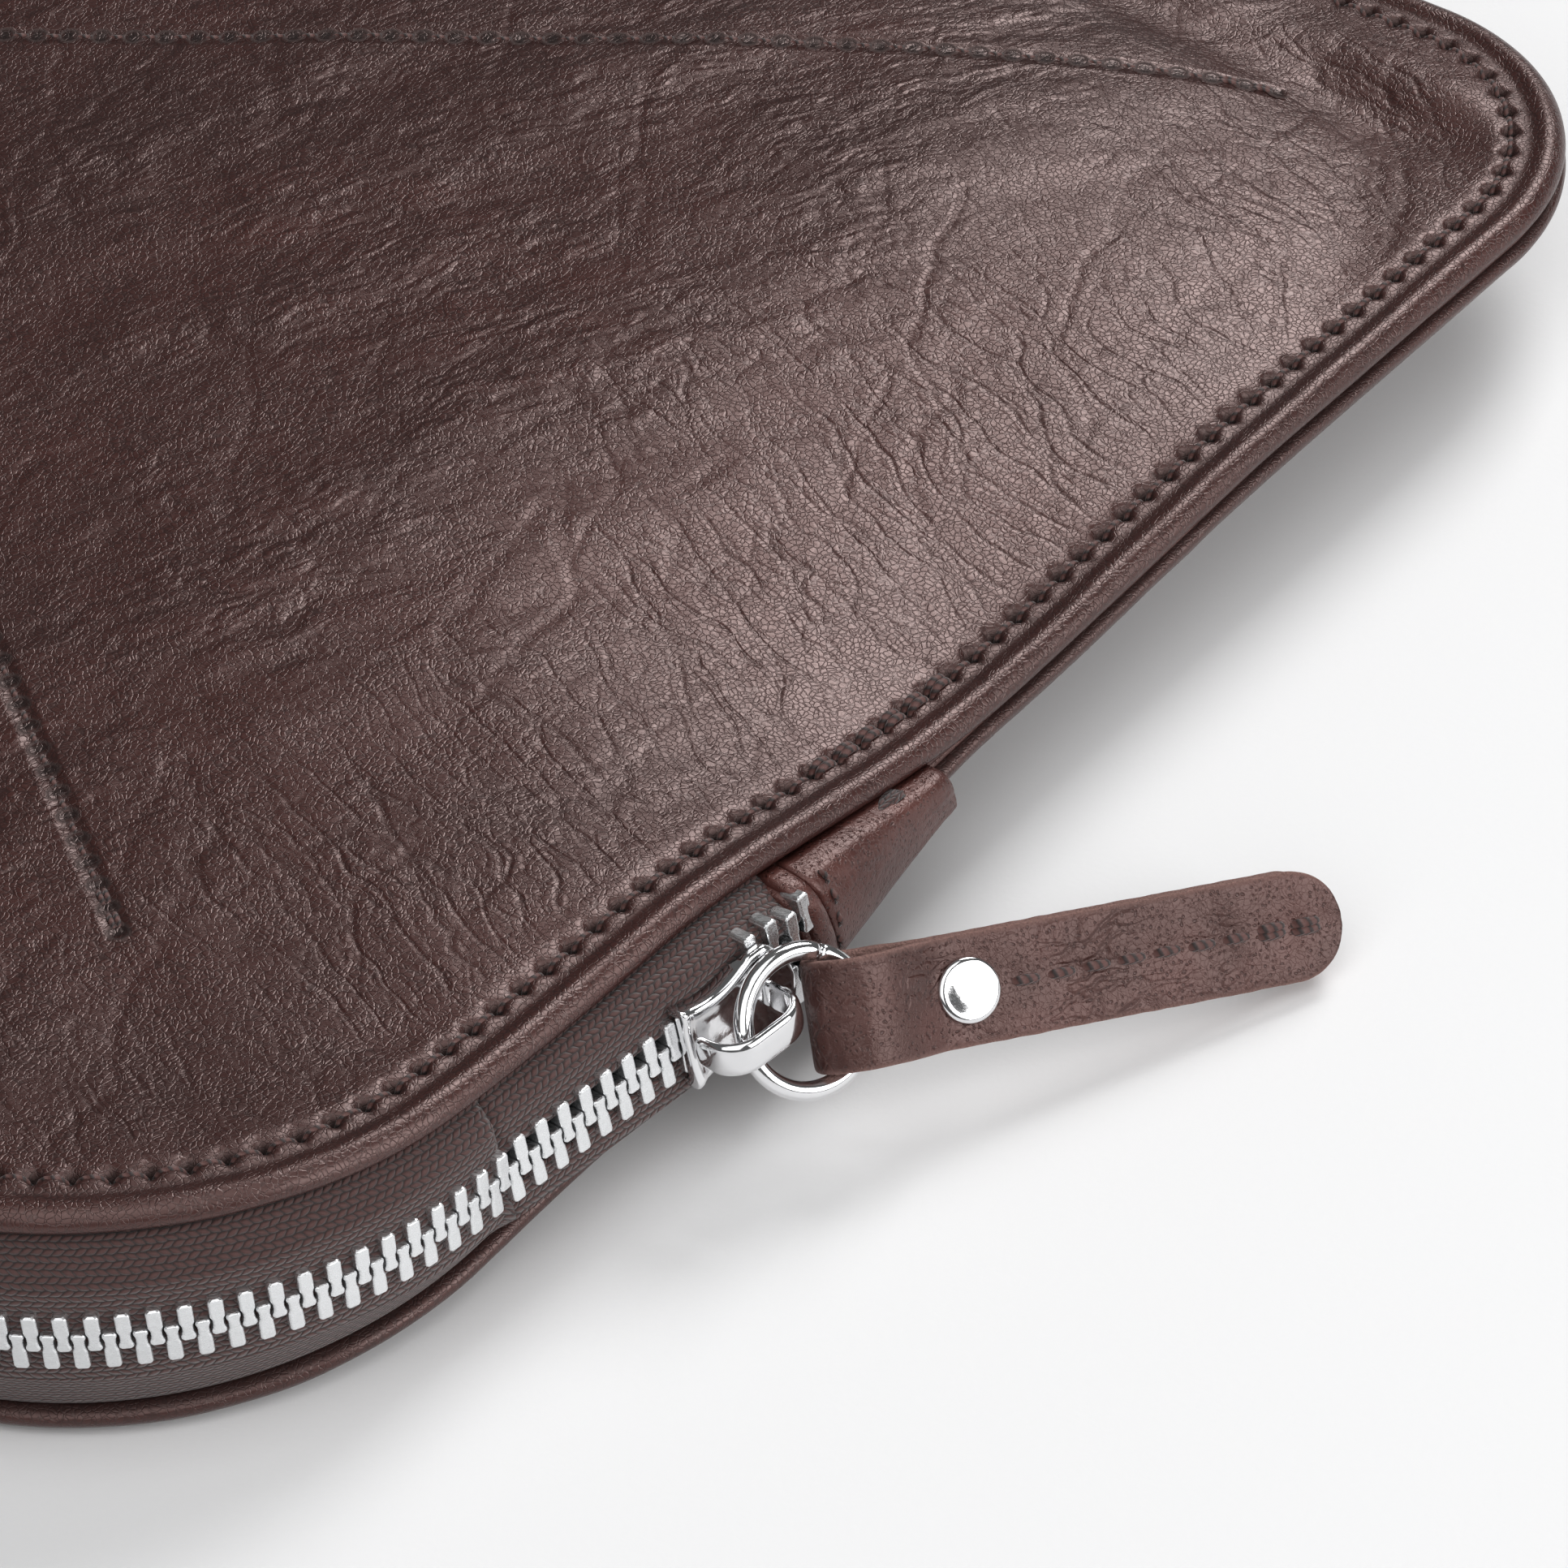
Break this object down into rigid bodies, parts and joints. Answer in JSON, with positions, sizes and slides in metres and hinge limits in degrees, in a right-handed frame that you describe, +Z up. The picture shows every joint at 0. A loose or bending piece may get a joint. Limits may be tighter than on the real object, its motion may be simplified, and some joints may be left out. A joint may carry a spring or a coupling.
{
  "type": "zippered pouch",
  "caption": "Slim brown leather zip pouch for a laptop, closed, with a metal zip round one long side and a leather puller on a ring.",
  "frame": {"origin": "centre of the flat base that the pouch rests on, midway along both sides", "axes": "+X along the zip's long side towards the end with the slider, +Y from the zip side to the sewn side, +Z up through the front panel"},
  "size_m": [0.3722, 0.2262, 0.0269],
  "materials": {
    "panel_leather": "satin, pebbled and wrinkled",
    "puller_leather": "satin, open pores and raw edges",
    "lining_cloth": "matte felt",
    "zip_tape": "matte twill weave",
    "thread": "matte twisted thread",
    "tooth_metal": "tumbled satin",
    "polished_metal": "polished"
  },
  "bodies": {
    "pouch": {"front_panel": "panel_leather", "back_panel": "panel_leather", "front_lining": "lining_cloth", "back_lining": "lining_cloth", "side_welt": "panel_leather", "upper_tape": "zip_tape", "lower_tape": "zip_tape", "upper_tape_run": "zip_tape", "lower_tape_run": "zip_tape", "upper_teeth": "tooth_metal", "lower_teeth": "tooth_metal", "upper_teeth_run": "tooth_metal", "lower_teeth_run": "tooth_metal", "top_stops": "tooth_metal", "bottom_stop": "tooth_metal", "right_end_tab": "panel_leather", "left_end_tab": "panel_leather", "tab_stitching": "thread", "border_stitching_front": "thread", "border_stitching_back": "thread", "diagonal_stitching": "thread"},
    "slider": {"slider_body": "polished_metal", "slider_bridge": "polished_metal"},
    "ring": {"pull_ring": "polished_metal"},
    "puller": {"puller_strap": "puller_leather", "rivet_cap": "polished_metal", "rivet_post": "polished_metal", "puller_stitching": "thread"}
  },
  "joints": [
    {"name": "slider_travel", "type": "slide", "parent": "pouch", "child": "slider", "axis": [-0.0967, -0.9951, -0.0198], "range_m": [0, 0.02], "deforming": ["upper_tape_run", "lower_tape_run", "upper_teeth_run", "lower_teeth_run"]},
    {"name": "ring_swing", "type": "hinge", "parent": "slider", "child": "ring", "pos_m": [0.1734, -0.04369, 0.01451], "axis": [-0.4709, 0.3102, 0.8259], "range_deg": [-90, 0]},
    {"name": "puller_swing", "type": "hinge", "parent": "ring", "child": "puller", "pos_m": [0.17703, -0.03367, 0.01229], "axis": [-0.4397, 0.3951, 0.8065], "range_deg": [-60, 40]}
  ]
}
